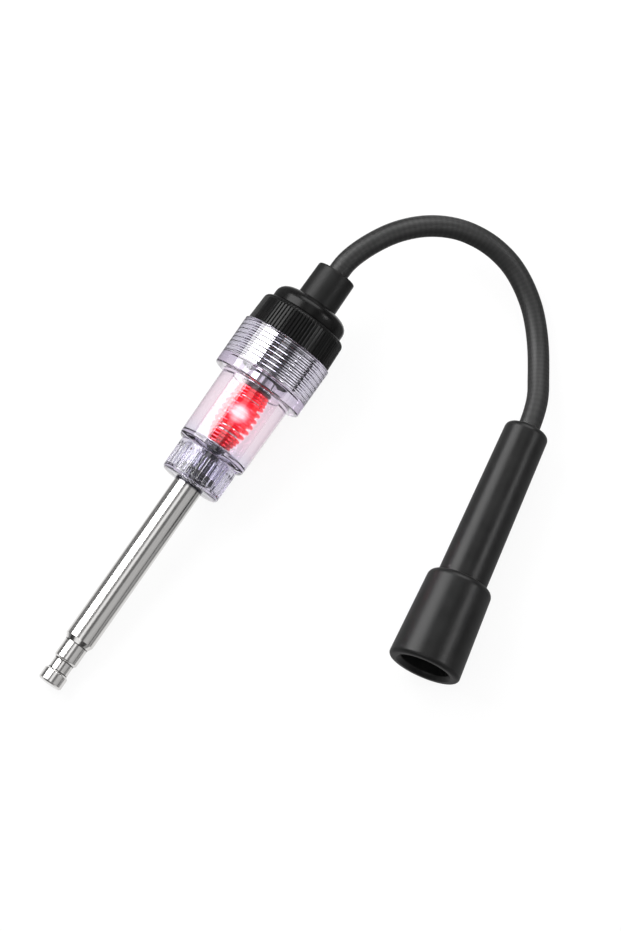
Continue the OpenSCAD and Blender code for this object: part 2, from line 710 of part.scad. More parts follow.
probe_rod();
rod_washer();
collar_nut();
clear_housing();
spring_seat();
lamp_spring();
lamp_glass();
lamp_lower_cap();
lamp_upper_cap();
lower_electrode();
upper_electrode();
contact_washer();
top_contact();
lead_ferrule();
seal_ring();
lead_plug();
cap_nut();
lead_cap();
strain_relief();
lead_core();
lead_jacket();
boot();
boot_terminal();
terminal_clip();
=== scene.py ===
# %% [markdown]
# A spark plug tester lies on its side. A steel probe leads into a clear lamp barrel, a black screw cap
# closes the barrel, and a short lead ends in a rubber boot.
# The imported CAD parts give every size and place. This lesson gives them their real surfaces: the pieces
# are modelled again as fine, rounded meshes, then finished, lit and seen from the angle of the photograph.
# The first step loads the parts, which are never moved.

# %% Load the parts
import json
import math

import bmesh
import bpy
from mathutils import Matrix, Vector
from mathutils.geometry import interpolate_bezier


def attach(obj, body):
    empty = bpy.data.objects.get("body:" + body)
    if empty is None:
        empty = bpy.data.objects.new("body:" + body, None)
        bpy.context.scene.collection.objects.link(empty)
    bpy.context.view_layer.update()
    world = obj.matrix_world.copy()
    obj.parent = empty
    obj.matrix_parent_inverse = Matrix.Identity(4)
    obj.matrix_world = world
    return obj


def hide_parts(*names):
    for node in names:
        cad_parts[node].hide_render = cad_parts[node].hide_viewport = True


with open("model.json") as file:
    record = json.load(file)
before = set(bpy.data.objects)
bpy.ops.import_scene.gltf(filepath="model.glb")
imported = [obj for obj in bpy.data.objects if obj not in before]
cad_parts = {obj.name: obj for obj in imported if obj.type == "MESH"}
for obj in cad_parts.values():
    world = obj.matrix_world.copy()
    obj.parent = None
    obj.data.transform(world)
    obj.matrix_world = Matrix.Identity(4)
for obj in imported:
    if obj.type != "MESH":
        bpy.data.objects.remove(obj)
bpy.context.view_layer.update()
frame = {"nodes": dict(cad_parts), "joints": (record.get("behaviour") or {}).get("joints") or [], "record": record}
record = frame["record"]

# %% [markdown]
# Nearly every piece is round about one of two axes. The body's axis is the line that its screw caps turn
# on, and the boot's axis is the middle of its mouth. With a matrix for each axis, a piece can be modelled
# upright along +Z and then laid in its place.

# %% The two axes
joints = {joint["name"]: joint for joint in frame["joints"]}
mounts = {mount["name"]: mount for mount in record["mounts"]}
up = Vector((0, 0, 1))


def reach_along(node, through, direction):
    """Lowest and highest place of a node along a line."""
    places = [(vert.co - through).dot(direction) for vert in frame["nodes"][node].data.vertices]
    return min(places), max(places)


def axis_place(node, through, direction, side):
    """Matrix whose +Z is an axis that starts at a node's first end, with +X towards a side."""
    through = Vector(through)
    direction = Vector(direction).normalized()
    across = (side - direction * side.dot(direction)).normalized()
    matrix = Matrix((across, direction.cross(across), direction)).transposed().to_4x4()
    matrix.translation = through + direction * reach_along(node, through, direction)[0]
    return matrix


def ends(node, place):
    """First and last place of a node along an axis."""
    return reach_along(node, place.translation, place.col[2].to_3d())


def on_axis(place, along):
    """Point on an axis."""
    return place @ Vector((0, 0, along))


body_place = axis_place("probe_rod", joints["cap_turn"]["pos_m"], joints["cap_turn"]["axis"], -up)
boot_place = axis_place("boot", mounts["boot_mouth"]["pos_m"], mounts["boot_mouth"]["axis"], up)
print("body length", ends("strain_relief", body_place)[1], "boot length", ends("boot", boot_place)[1])

# %% [markdown]
# The photograph looks steeply down at the tester with a long lens, so parallel edges stay parallel.
# The camera is set by numbers taken from the photograph: how far it looks down, which way it is turned,
# how many pixels one millimetre has, and which point of the table lies in the middle of the picture.

# %% Camera
photo_height = 931
pixels_per_metre = 4100
view_height = photo_height / pixels_per_metre
view_azimuth = math.radians(-55.12)
view_elevation = math.radians(74)
view_centre = Vector((0.019, -0.0213, 0.008))
camera_distance = 1.4
sensor_size = 36


def new_object(name, data):
    """New object in the scene."""
    thing = bpy.data.objects.new(name, data)
    bpy.context.scene.collection.objects.link(thing)
    return thing


towards_camera = Vector((
    math.sin(view_azimuth) * math.cos(view_elevation),
    -math.cos(view_azimuth) * math.cos(view_elevation),
    math.sin(view_elevation),
))
lens = bpy.data.cameras.new("photo_camera")
lens.sensor_fit = "VERTICAL"
lens.sensor_height = sensor_size
lens.sensor_width = sensor_size
lens.lens = sensor_size * camera_distance / view_height
camera = new_object("photo_camera", lens)
camera.location = view_centre + towards_camera * camera_distance
camera.rotation_euler = (-towards_camera).to_track_quat("-Z", "Y").to_euler()
bpy.context.scene.camera = camera
print("lens", round(lens.lens, 1), "mm at", camera_distance, "m")

# %% [markdown]
# The lead is a stiff ignition cable. It leaves the sleeve, rises a little, bends round in one loose arc, comes
# down onto the table and goes into the boot. Its route is a short list of given points.
# A smooth curve through them gives the middle line, and a round bevel along that line gives the jacket.

# %% The lead's middle line
seat_gap = 0.00003
lead_diameter = 0.0054
exit_along = ends("strain_relief", body_place)[1]
jacket_start = ends("lead_ferrule", body_place)[1] + seat_gap
jacket_end = ends("boot_terminal", boot_place)[0] - 2 * seat_gap
exit_point = on_axis(body_place, exit_along)

# Plan seen from the exit, and height above the table
lead_route = [
    (0.004, -0.0003, 0.016), (0.008, -0.0014, 0.0162), (0.012, -0.003, 0.0161), (0.016, -0.005, 0.0156),
    (0.0197, -0.0075, 0.0148), (0.023, -0.0104, 0.0137), (0.0258, -0.0138, 0.0124),
    (0.0279, -0.0175, 0.011), (0.0292, -0.0214, 0.0095), (0.0298, -0.0254, 0.008),
    (0.0296, -0.0294, 0.0067), (0.0288, -0.033, 0.0055), (0.0273, -0.0365, 0.0045),
    (0.0254, -0.0397, 0.0037), (0.0232, -0.0426, 0.0032), (0.0207, -0.0452, 0.0029),
    (0.018, -0.0476, 0.0028), (0.0152, -0.0498, 0.0029), (0.0122, -0.0519, 0.0033),
    (0.009, -0.054, 0.004), (0.0057, -0.0561, 0.005), (0.002, -0.0578, 0.006),
]


def smooth_path(points, steps):
    """Points of a smooth curve through a row of points."""
    row = [2 * points[0] - points[1], *points, 2 * points[-1] - points[-2]]
    path = []
    for before, start, end, after in zip(row, row[1:], row[2:], row[3:]):
        out_handle = start + (end - before) / 6
        in_handle = end - (after - start) / 6
        path += interpolate_bezier(start, out_handle, in_handle, end, steps)[:-1]
    return path + [points[-1]]


lead_points = [on_axis(body_place, along) for along in (jacket_start, (jacket_start + exit_along) / 2)]
lead_points += [exit_point]
lead_points += [Vector((exit_point.x + x, y, z)) for x, y, z in lead_route]
lead_points += [on_axis(boot_place, along) for along in (0, jacket_end / 2, jacket_end)]
lead_path = smooth_path(lead_points, steps=6)
lead_length = sum((b - a).length for a, b in zip(lead_path, lead_path[1:]))
print("lead length", round(lead_length, 4), "m through", len(lead_points), "points")

# %% [markdown]
# A curve with a round bevel is the shortest way to a wire or a cable. It becomes a mesh at once, so that
# its surface keeps a UV map that runs along and around it.

# %% A wire along a path
def wire_mesh(name, path, diameter, roundness):
    """Closed round wire along a path, as a mesh with a UV map."""
    line = bpy.data.curves.new(name, "CURVE")
    line.dimensions = "3D"
    line.bevel_depth = diameter / 2
    line.bevel_resolution = roundness
    line.use_fill_caps = True
    spline = line.splines.new("POLY")
    spline.points.add(len(path) - 1)
    for point, place in zip(spline.points, path):
        point.co = (*place, 1)
    holder = new_object(name, line)
    mesh = bpy.data.meshes.new_from_object(holder.evaluated_get(bpy.context.evaluated_depsgraph_get()))
    bpy.data.objects.remove(holder)
    bpy.data.curves.remove(line)
    mesh.name = name
    return mesh


lead_mesh = wire_mesh("lead", lead_path, lead_diameter, roundness=8)
print("lead", len(lead_mesh.polygons), "faces, UV maps", len(lead_mesh.uv_layers))

# %% [markdown]
# Finishes come next. Each one is a Principled shader fed by a pattern, so a few small helpers save typing.
# One feeds the inputs of a node, by a link where it is given a socket and by a value otherwise. Others add
# a node, do one step of arithmetic and start a node group with named sockets.

# %% Node helpers
def grey(tone):
    """Colour without a hue."""
    return tone, tone, tone


def feed(tree, node, values):
    """Links the inputs of a node to sockets, or sets them to plain values."""
    for name, value in values.items():
        socket = node.inputs[name]
        if isinstance(value, bpy.types.NodeSocket):
            tree.links.new(value, socket)
        elif socket.type == "RGBA":
            socket.default_value = (*value, 1)
        else:
            socket.default_value = value


def add(tree, kind, values=None, **settings):
    """New node with its settings and what feeds its inputs."""
    node = tree.nodes.new(kind)
    for name, value in settings.items():
        setattr(node, name, value)
    feed(tree, node, values or {})
    return node


def math_value(tree, operation, *values):
    """Result of one step of arithmetic on numbers."""
    return add(tree, "ShaderNodeMath", dict(enumerate(values)), operation=operation).outputs[0]


def math_vector(tree, operation, *values):
    """Result of one step of arithmetic on vectors."""
    return add(tree, "ShaderNodeVectorMath", dict(enumerate(values)), operation=operation).outputs["Vector"]


def new_group(name, vectors, values, outputs):
    """Empty node group with named sockets: the tree, what comes in and the node that sends out."""
    tree = bpy.data.node_groups.new(name, "ShaderNodeTree")
    for sockets, side, kind in (
            (vectors, "INPUT", "Vector"), (values, "INPUT", "Float"), (outputs, "OUTPUT", "Float")):
        for socket in sockets:
            tree.interface.new_socket(socket, in_out=side, socket_type="NodeSocket" + kind)
    return tree, tree.nodes.new("NodeGroupInput").outputs, tree.nodes.new("NodeGroupOutput")


print("node helpers ready")

# %% [markdown]
# A finish is a material with a Principled shader. Its patterns read Object coordinates along an axis, so
# that they can follow the rod, the barrel or the boot. What a pattern gives becomes a colour or a range.

# %% Finish helpers
def new_finish(name):
    """New material: its tree and its Principled shader."""
    material = bpy.data.materials.new(name)
    material.use_nodes = True
    return material, material.node_tree, material.node_tree.nodes["Principled BSDF"]


def coordinates(tree, kind):
    """Texture coordinates of one kind, such as Object or UV."""
    return add(tree, "ShaderNodeTexCoord").outputs[kind]


def axis_coordinates(tree, place):
    """Object coordinates measured from the start of an axis, with Z along it."""
    values = {"Location": place.translation, "Rotation": place.to_euler()}
    values["Vector"] = coordinates(tree, "Object")
    return add(tree, "ShaderNodeMapping", values, vector_type="TEXTURE").outputs["Vector"]


def colour_ramp(tree, factor, stops):
    """Colours at places from 0 to 1, read by a value."""
    ramp = add(tree, "ShaderNodeValToRGB", {"Fac": factor})
    elements = ramp.color_ramp.elements
    while len(elements) < len(stops):
        elements.new(1)
    for element, (place, colour) in zip(elements, stops):
        element.position = place
        element.color = (*colour, 1)
    return ramp.outputs["Color"]


def blend_colours(tree, factor, under, over, kind="MIX"):
    """One colour laid over another by a factor."""
    # Inputs 6 and 7 and output 2 of this node are the ones for colours
    values = {"Factor": factor, 6: under, 7: over}
    return add(tree, "ShaderNodeMix", values, data_type="RGBA", blend_type=kind).outputs[2]


def bump(tree, height, depth):
    """Normals of a surface that rises with a height from 0 to 1."""
    values = {"Strength": 1.0, "Distance": depth, "Height": height}
    return add(tree, "ShaderNodeBump", values).outputs["Normal"]


def spread(tree, value, low, high):
    """A value from 0 to 1 spread over a range."""
    return add(tree, "ShaderNodeMapRange", {"Value": value, "To Min": low, "To Max": high}).outputs["Result"]


print("finish helpers ready")

# %% [markdown]
# Rubber and moulded plastic have a fine grain from the mould and a slow change of tone from handling.
# Both are noise, at two scales. The group gives the grain as a height for a Bump node and the slow change
# as a tone, and every moulded finish uses it with its own grain size.

# %% Moulded grain
grain, grain_in, grain_out = new_group("Moulded grain", ["Vector"], ["Grain Size"], ["Height", "Tone"])
broad_share = 0.03
fine_scale = math_value(grain, "DIVIDE", 1.0, grain_in["Grain Size"])
broad_scale = math_value(grain, "MULTIPLY", fine_scale, broad_share)
for output, scale, detail in (("Height", fine_scale, 3.0), ("Tone", broad_scale, 4.0)):
    noise = add(grain, "ShaderNodeTexNoise", {
        "Vector": grain_in["Vector"], "Scale": scale, "Detail": detail, "Roughness": 0.6})
    feed(grain, grain_out, {output: noise.outputs["Fac"]})
print("group", grain.name)

# %% [markdown]
# Drawn and turned metal carries very fine lines. Noise that is stretched one way makes them: short across
# the lines and long along them. The same group draws lines along a rod or rings around a turned end.

# %% Drawn lines
drawn, drawn_in, drawn_out = new_group("Drawn lines", ["Vector"], ["Width", "Length"], ["Height", "Tone"])
across_scale = math_value(drawn, "DIVIDE", 1.0, drawn_in["Width"])
along_scale = math_value(drawn, "DIVIDE", 1.0, drawn_in["Length"])
stretch = add(drawn, "ShaderNodeCombineXYZ", {"X": across_scale, "Y": across_scale, "Z": along_scale})
stretched = math_vector(drawn, "MULTIPLY", drawn_in["Vector"], stretch.outputs["Vector"])
for output, scale, roughness in (("Height", 1.0, 0.7), ("Tone", 0.12, 0.6)):
    noise = add(drawn, "ShaderNodeTexNoise", {
        "Vector": stretched, "Scale": scale, "Detail": 3.0, "Roughness": roughness})
    feed(drawn, drawn_out, {output: noise.outputs["Fac"]})
print("group", drawn.name)

# %% [markdown]
# Several finishes change along an axis: the lamp's light fades along the barrel, real on its glass and painted on
# the spring and the clear plastic, and the turned corners of the rod carry thin lines of painted shade. The band
# group turns the distance from a place on the axis into a mask from 1 to 0.

# %% Band along an axis
def fade_out(tree, distance, reach):
    """1 at no distance, falling smoothly to 0 at a reach."""
    values = {"Value": distance, "From Max": reach, "To Min": 1.0, "To Max": 0.0}
    return add(tree, "ShaderNodeMapRange", values, interpolation_type="SMOOTHSTEP").outputs["Result"]


def read_mask(tree, group, vector, centre, reach):
    """Mask of a group, which is 1 at its centre and fades to 0 within a reach."""
    values = {"Vector": vector, "Centre": centre, "Reach": reach}
    return add(tree, "ShaderNodeGroup", values, node_tree=group).outputs["Mask"]


band, band_in, band_out = new_group("Band along the axis", ["Vector"], ["Centre", "Reach"], ["Mask"])
band_place = add(band, "ShaderNodeSeparateXYZ", {0: band_in["Vector"]}).outputs["Z"]
band_distance = math_value(band, "ABSOLUTE", math_value(band, "SUBTRACT", band_place, band_in["Centre"]))
feed(band, band_out, {"Mask": fade_out(band, band_distance, band_in["Reach"])})
print("group", band.name)

# %% [markdown]
# The lit lamp is brightest in one spot, on the upper side of its gap. The glow group turns the distance from a
# point into a mask from 1 to 0, so the glass and the coils near that point share one round spot: the lamp's own
# light on the glass, a painted glow on the coils.

# %% Glow around a point
glow, glow_in, glow_out = new_group("Glow around a point", ["Vector", "Centre"], ["Reach"], ["Mask"])
apart = add(glow, "ShaderNodeVectorMath", {0: glow_in["Vector"], 1: glow_in["Centre"]}, operation="DISTANCE")
feed(glow, glow_out, {"Mask": fade_out(glow, apart.outputs["Value"], glow_in["Reach"])})
print("group", glow.name)

# %% [markdown]
# Every patterned finish is built in one way: the pattern's tone shifts the colour and the roughness a
# little, and its height becomes a bump. Black rubber and black plastic then differ only in their tones,
# their grain, their roughness and their shine. The insulating washer in the barrel is dark fibre.

# %% Black rubber and plastic
def patterned_finish(name, place, group, sizes, dark, pale, roughness, depth):
    """Material whose pattern shifts its colour and its roughness and stands as a bump."""
    material, tree, shader = new_finish(name)
    values = {**sizes, "Vector": axis_coordinates(tree, place)}
    pattern = add(tree, "ShaderNodeGroup", values, node_tree=group).outputs
    feed(tree, shader, {
        "Base Color": colour_ramp(tree, pattern["Tone"], [(0.3, dark), (0.7, pale)]),
        "Roughness": spread(tree, pattern["Tone"], *roughness),
        "Normal": bump(tree, pattern["Height"], depth)})
    return material, tree, shader


def moulded_finish(name, place, dark, pale, roughness, size, depth, shine=0.5):
    """Moulded rubber or plastic with grain and a slow change of tone."""
    material, tree, shader = patterned_finish(
        name, place, grain, {"Grain Size": size}, dark, pale, roughness, depth)
    feed(tree, shader, {"Specular IOR Level": shine})
    return material


boot_rubber = moulded_finish(
    "boot_rubber", boot_place, grey(0.005), grey(0.009), (0.3, 0.42),
    size=0.00012, depth=0.000008, shine=0.23)
sleeve_rubber = moulded_finish(
    "sleeve_rubber", body_place, grey(0.005), grey(0.009), (0.36, 0.48),
    size=0.00012, depth=0.000008, shine=0.17)
gloss_black = moulded_finish(
    "gloss_black", body_place, grey(0.003), grey(0.006), (0.2, 0.3),
    size=0.0003, depth=0.000003, shine=0.14)
plug_plastic = moulded_finish(
    "plug_plastic", body_place, (0.02, 0.02, 0.021), (0.035, 0.035, 0.036), (0.35, 0.5),
    size=0.0002, depth=0.000006)
seal_rubber = moulded_finish(
    "seal_rubber", body_place, grey(0.025), grey(0.045), (0.6, 0.75), size=0.00015, depth=0.00001)
insulator = moulded_finish(
    "insulator", body_place, (0.03, 0.022, 0.024), (0.05, 0.036, 0.038), (0.3, 0.4),
    size=0.0002, depth=0.000002)
print("moulded finishes: 6")

# %% [markdown]
# The rod is bright drawn steel, the contact is chrome, and the terminal in the boot is brass. They share
# one function: a metal whose drawn lines change its tone and roughness and stand as a slight bump.

# %% Metals
def metal_finish(name, place, dark, bright, roughness, width, length, depth):
    """Drawn or turned metal with fine lines."""
    material, tree, shader = patterned_finish(
        name, place, drawn, {"Width": width, "Length": length}, dark, bright, roughness, depth)
    feed(tree, shader, {"Metallic": 1.0})
    return material, tree, shader


brass_dark, brass_bright = (0.6, 0.42, 0.18), (0.78, 0.6, 0.3)
rod_steel, rod_tree, rod_shader = metal_finish(
    "rod_steel", body_place, (0.6, 0.59, 0.58), (0.72, 0.71, 0.7), (0.15, 0.22),
    width=0.00015, length=0.02, depth=0.0000002)
plated_steel = metal_finish(
    "plated_steel", body_place, (0.55, 0.54, 0.53), (0.7, 0.69, 0.68), (0.15, 0.3),
    width=0.002, length=0.0002, depth=0.000001)[0]
contact_chrome = metal_finish(
    "contact_chrome", body_place, grey(0.7), grey(0.85), (0.06, 0.14),
    width=0.002, length=0.0003, depth=0.000001)[0]
electrode_metal = metal_finish(
    "electrode_metal", body_place, (0.3, 0.29, 0.28), (0.42, 0.4, 0.39), (0.3, 0.45),
    width=0.001, length=0.0002, depth=0.000002)[0]
ferrule_brass = metal_finish(
    "ferrule_brass", body_place, brass_dark, brass_bright, (0.2, 0.35),
    width=0.0003, length=0.01, depth=0.000002)[0]
terminal_brass = metal_finish(
    "terminal_brass", boot_place, brass_dark, brass_bright, (0.2, 0.35),
    width=0.002, length=0.0003, depth=0.000002)[0]
clip_steel = metal_finish(
    "clip_steel", boot_place, (0.5, 0.49, 0.48), (0.68, 0.67, 0.66), (0.2, 0.35),
    width=0.0003, length=0.002, depth=0.000001)[0]
core_copper = metal_finish(
    "core_copper", boot_place, (0.6, 0.32, 0.18), (0.78, 0.46, 0.3), (0.3, 0.45),
    width=0.0004, length=0.01, depth=0.00002)[0]
print("metal finishes: 8")

# %% [markdown]
# The rod's tip is turned in steps, and the photograph shows a fine dark line in each corner, painted here as a
# thin line of shade. The flange and the stud inside the collar are painted dark as well, as shade where they sit
# inside the collar nut. Bands along the axis darken the steel there.

# %% Painted shade in the rod's corners and on its stud
rod_corners = (0.00365, 0.00645, 0.0116)
corner_reach = 0.00022
corner_painted_shade = grey(0.02)
stud_reach = 0.013
stud_painted_shade = (0.04, 0.04, 0.046)
rod_vector = axis_coordinates(rod_tree, body_place)
rod_colour = rod_shader.inputs["Base Color"].links[0].from_socket
# Painted shade: a thin dark line in each turned corner of the tip
for corner in rod_corners:
    corner_shade_mask = read_mask(rod_tree, band, rod_vector, corner, corner_reach)
    rod_colour = blend_colours(rod_tree, corner_shade_mask, rod_colour, corner_painted_shade)
# Painted shade: the flange and the stud inside the collar nut are darkened
stud_shade_mask = read_mask(rod_tree, band, rod_vector, ends("probe_rod", body_place)[1], stud_reach)
stud_shade_edge = colour_ramp(rod_tree, stud_shade_mask, [(0.03, grey(0)), (0.06, grey(1))])
feed(rod_tree, rod_shader, {"Base Color": blend_colours(rod_tree, stud_shade_edge, rod_colour, stud_painted_shade)})
print("dark lines at", len(rod_corners), "corners")

# %% [markdown]
# The photograph shows the lamp lit: white at its spark gap, red further off, and it floods the spring around it
# with red. That red is painted on the wire: the metal's colour is the red of the light, and a painted glow on the
# wire fades along the barrel. The outermost line of each coil is a paler red, a painted highlight found where the
# surface faces straight away from the axis, so that the key light glints there in white. A painted white spot is
# added where the coils pass the brightest point.

# %% Spring wire with painted lamp light
lamp_low, lamp_high = ends("lamp_glass", body_place)
gap_along = (lamp_low + lamp_high) / 2
spring_reach = 0.0105
crest_painted_highlight = (0.9, 0.1, 0.12)
spot_height, spot_side, spot_drop = 0.0038, 0.0006, 0.0003
spot_reach = 0.004
spot_point = (-spot_height, -spot_side, gap_along - spot_drop)


def add_spot(tree, vector, red):
    """Red glow with the white spot added to it: the lamp's own light on its glass, a painted glow on the spring.
    """
    spot = colour_ramp(tree, read_mask(tree, glow, vector, spot_point, spot_reach), [
        (0.0, grey(0)), (0.25, (0.3, 0.04, 0.06)), (0.5, (0.7, 0.4, 0.44)), (0.75, grey(1))])
    return blend_colours(tree, 1.0, red, spot, "ADD")


spring_wire, spring_tree, spring_shader = metal_finish(
    "spring_wire", body_place, (0.62, 0.6, 0.59), (0.78, 0.76, 0.75), (0.1, 0.2),
    width=0.0003, length=0.002, depth=0.000001)
spring_vector = axis_coordinates(spring_tree, body_place)
# Painted lamp light: the wire's red colour and its red glow, strongest at the gap and fading along the barrel
spring_painted_light_mask = read_mask(spring_tree, band, spring_vector, gap_along, spring_reach)
spring_painted_red_light = colour_ramp(spring_tree, spring_painted_light_mask, [
    (0.0, (0.7, 0.01, 0.02)), (0.3, (0.8, 0.005, 0.012)), (1.0, (0.85, 0.005, 0.012))])
spring_painted_glow = colour_ramp(spring_tree, spring_painted_light_mask, [
    (0.0, (0.02, 0.0, 0.001)), (0.3, (0.2, 0.0, 0.005)), (0.7, (0.42, 0.0, 0.012)), (1.0, (0.5, 0.0, 0.015))])
facing = add(spring_tree, "ShaderNodeMapping", {
    "Vector": coordinates(spring_tree, "Normal"), "Rotation": body_place.to_euler()}, vector_type="TEXTURE")
off_axis = math_vector(spring_tree, "MULTIPLY", spring_vector, (1, 1, 0))
outward = math_vector(spring_tree, "NORMALIZE", off_axis)
crest = add(spring_tree, "ShaderNodeVectorMath", {
    0: facing.outputs["Vector"], 1: outward}, operation="DOT_PRODUCT").outputs["Value"]
# Painted highlight: the outward crest of each coil is a paler red, where the key light glints
crest_highlight_mask = colour_ramp(spring_tree, crest, [(0.9, grey(0)), (0.96, grey(1))])
# Painted glow: the wire emits red and shows the white spot, though it is no lamp
feed(spring_tree, spring_shader, {
    "Base Color": blend_colours(spring_tree, crest_highlight_mask, spring_painted_red_light, crest_painted_highlight),
    "Emission Color": add_spot(spring_tree, spring_vector, spring_painted_glow), "Emission Strength": 1.0})
print("lamp gap at", round(gap_along, 5), "m along the body")

# %% [markdown]
# The lamp is a small glass bulb. Lit, it is bright red at the gap and darker towards its metal caps, so its
# emission follows a mask along the axis, with the same white spot added.

# %% Lamp glass
lamp_reach = 0.006
lamp_glass, lamp_tree, lamp_shader = new_finish("lamp_glass")
lamp_vector = axis_coordinates(lamp_tree, body_place)
lamp_mask = read_mask(lamp_tree, band, lamp_vector, gap_along, lamp_reach)
lamp_red = colour_ramp(lamp_tree, lamp_mask, [
    (0.0, (0.12, 0.0, 0.001)), (0.4, (0.4, 0.0, 0.01)), (0.8, (0.6, 0.0, 0.016)), (1.0, (0.65, 0.01, 0.03))])
feed(lamp_tree, lamp_shader, {
    "Base Color": colour_ramp(lamp_tree, lamp_mask, [(0.0, (0.6, 0.01, 0.015)), (1.0, (0.7, 0.015, 0.02))]),
    "Emission Color": add_spot(lamp_tree, lamp_vector, lamp_red), "Emission Strength": 1.0,
    "Roughness": 0.05, "Transmission Weight": 0.4})
print("lamp glass lit")

# %% [markdown]
# The housing and the collar nut are clear moulded plastic with a faint violet tint. Real refraction shows the
# threads and the bore in them, so the shader transmits fully. Thick walls look darker than thin ones, so the tint
# is also taken up inside the plastic. Next to the lamp the tint turns pink, which is the lamp's light painted as a
# change of tint along the body. Faint smears change the roughness.

# %% Clear plastic
pink_reach = 0.0145
smear_size = 0.0002
clear_plastic, clear_tree, clear_shader = new_finish("clear_plastic")
clear_vector = axis_coordinates(clear_tree, body_place)
# Painted light: the violet tint turns pink near the lamp
violet_tint_and_painted_pink_light = colour_ramp(clear_tree, read_mask(clear_tree, band, clear_vector, gap_along, pink_reach), [
    (0.0, (0.78, 0.77, 0.85)), (0.25, (0.86, 0.83, 0.9)),
    (0.55, (0.96, 0.86, 0.91)), (1.0, (1.0, 0.87, 0.91))])
smears = add(clear_tree, "ShaderNodeGroup", {
    "Vector": clear_vector, "Grain Size": smear_size}, node_tree=grain)
feed(clear_tree, clear_shader, {
    "Base Color": violet_tint_and_painted_pink_light, "Roughness": spread(clear_tree, smears.outputs["Tone"], 0.0, 0.05),
    "Transmission Weight": 1.0, "IOR": 1.53})
clear_depth = add(clear_tree, "ShaderNodeVolumeAbsorption", {"Color": (0.85, 0.81, 0.88), "Density": 110.0})
feed(clear_tree, clear_tree.nodes["Material Output"], {"Volume": clear_depth.outputs["Volume"]})
print("clear plastic ready")

# %% [markdown]
# The lead's jacket has a fine woven look: two sets of thin ridges cross each other at a slant. The UV map
# of the lead runs along it and around it, so two slanted waves on that map make the weave.

# %% Woven lead
strand_pitch = 0.0004
strands_around = 44
strand_height = 0.00001
lead_rubber, lead_tree, lead_shader = new_finish("lead_rubber")
lead_uv = add(lead_tree, "ShaderNodeSeparateXYZ", {0: coordinates(lead_tree, "UV")}).outputs


def lead_wave(slant):
    """Slanted ridges around the lead."""
    along = math_value(lead_tree, "MULTIPLY", lead_uv["Y"], 2 * math.pi * lead_length / strand_pitch)
    around = math_value(lead_tree, "MULTIPLY", lead_uv["X"], 2 * math.pi * strands_around * slant)
    return math_value(lead_tree, "SINE", math_value(lead_tree, "ADD", along, around))


weave = math_value(lead_tree, "MULTIPLY", lead_wave(1), lead_wave(-1))
weave_tone = add(lead_tree, "ShaderNodeMapRange", {"Value": weave, "From Min": -1.0}).outputs["Result"]
feed(lead_tree, lead_shader, {
    "Base Color": colour_ramp(lead_tree, weave_tone, [(0.2, grey(0.002)), (0.8, grey(0.008))]),
    "Roughness": spread(lead_tree, weave_tone, 0.55, 0.42), "Specular IOR Level": 0.45,
    "Normal": bump(lead_tree, weave_tone, strand_height)})
print("weave of", strands_around, "strands")

# %% [markdown]
# The record says which body each node belongs to and which finish it has; a new piece looks up its body there and
# is given its finish.
# Dressing a piece means: faces outward and smooth, its place in its mesh, riding on its body, and standing
# for its node.

# %% Dress a piece
merge_distance = 0.000001
body_of = {node: body for body, nodes in record["behaviour"]["bodies"].items() for node in nodes}


def dress_mesh(mesh, node, material):
    """Shows a finished mesh in the place of a CAD node."""
    mesh.materials.clear()
    mesh.materials.append(material)
    piece = new_object(mesh.name, mesh)
    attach(piece, body_of[node])
    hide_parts(node)
    return piece


def dress(bm, node, place, material, sharp_angle=32):
    """Closes a bmesh, lays it in its place and shows it instead of a CAD node."""
    bmesh.ops.remove_doubles(bm, verts=bm.verts, dist=merge_distance)
    bmesh.ops.recalc_face_normals(bm, faces=bm.faces)
    bmesh.ops.transform(bm, matrix=place, verts=bm.verts)
    for face in bm.faces:
        face.smooth = True
    mesh = bpy.data.meshes.new(node + "_piece")
    bm.to_mesh(mesh)
    bm.free()
    mesh.set_sharp_from_angle(angle=math.radians(sharp_angle))
    print(mesh.name, len(mesh.polygons), "faces")
    piece = dress_mesh(mesh, node, material)
    weighted = piece.modifiers.new("even_walls", "WEIGHTED_NORMAL")
    weighted.keep_sharp = True
    return piece


for face in lead_mesh.polygons:
    face.use_smooth = True
lead = dress_mesh(lead_mesh, "lead_jacket", lead_rubber)
print("lead rides on", body_of["lead_jacket"])

# %% [markdown]
# A turned piece is known from half of its section. A plane through the axis cuts the CAD piece, the half
# of the cut on one side of the axis is kept, and a full spin with many steps gives a fine round mesh of
# exactly the same size. Small bevels on the sharp edges then catch the light, as broken edges do.

# %% Turned pieces from their sections
cut_angle = math.radians(50)
straight_angle = math.radians(1)
bevel_angle = math.radians(20)


def half_section(node, place):
    """Half outline of a turned CAD piece in the plane through its axis."""
    bm = bmesh.new()
    bm.from_mesh(frame["nodes"][node].data)
    bmesh.ops.remove_doubles(bm, verts=bm.verts, dist=merge_distance)
    bmesh.ops.transform(bm, matrix=Matrix.Rotation(-cut_angle, 4, "Z") @ place.inverted(), verts=bm.verts)
    cut = bmesh.ops.bisect_plane(
        bm, geom=bm.verts[:] + bm.edges[:] + bm.faces[:], dist=merge_distance / 10,
        plane_co=(0, 0, 0), plane_no=(0, 1, 0))
    outline = {edge for edge in cut["geom_cut"] if isinstance(edge, bmesh.types.BMEdge)}
    bmesh.ops.delete(bm, geom=bm.faces[:], context="FACES_ONLY")
    bmesh.ops.delete(bm, geom=[edge for edge in bm.edges if edge not in outline], context="EDGES")
    bmesh.ops.bisect_plane(
        bm, geom=bm.verts[:] + bm.edges[:], dist=merge_distance / 10,
        plane_co=(0, 0, 0), plane_no=(1, 0, 0), clear_inner=True)
    bmesh.ops.delete(bm, geom=[vert for vert in bm.verts if not vert.link_edges], context="VERTS")
    bmesh.ops.remove_doubles(bm, verts=bm.verts, dist=merge_distance)
    return bm


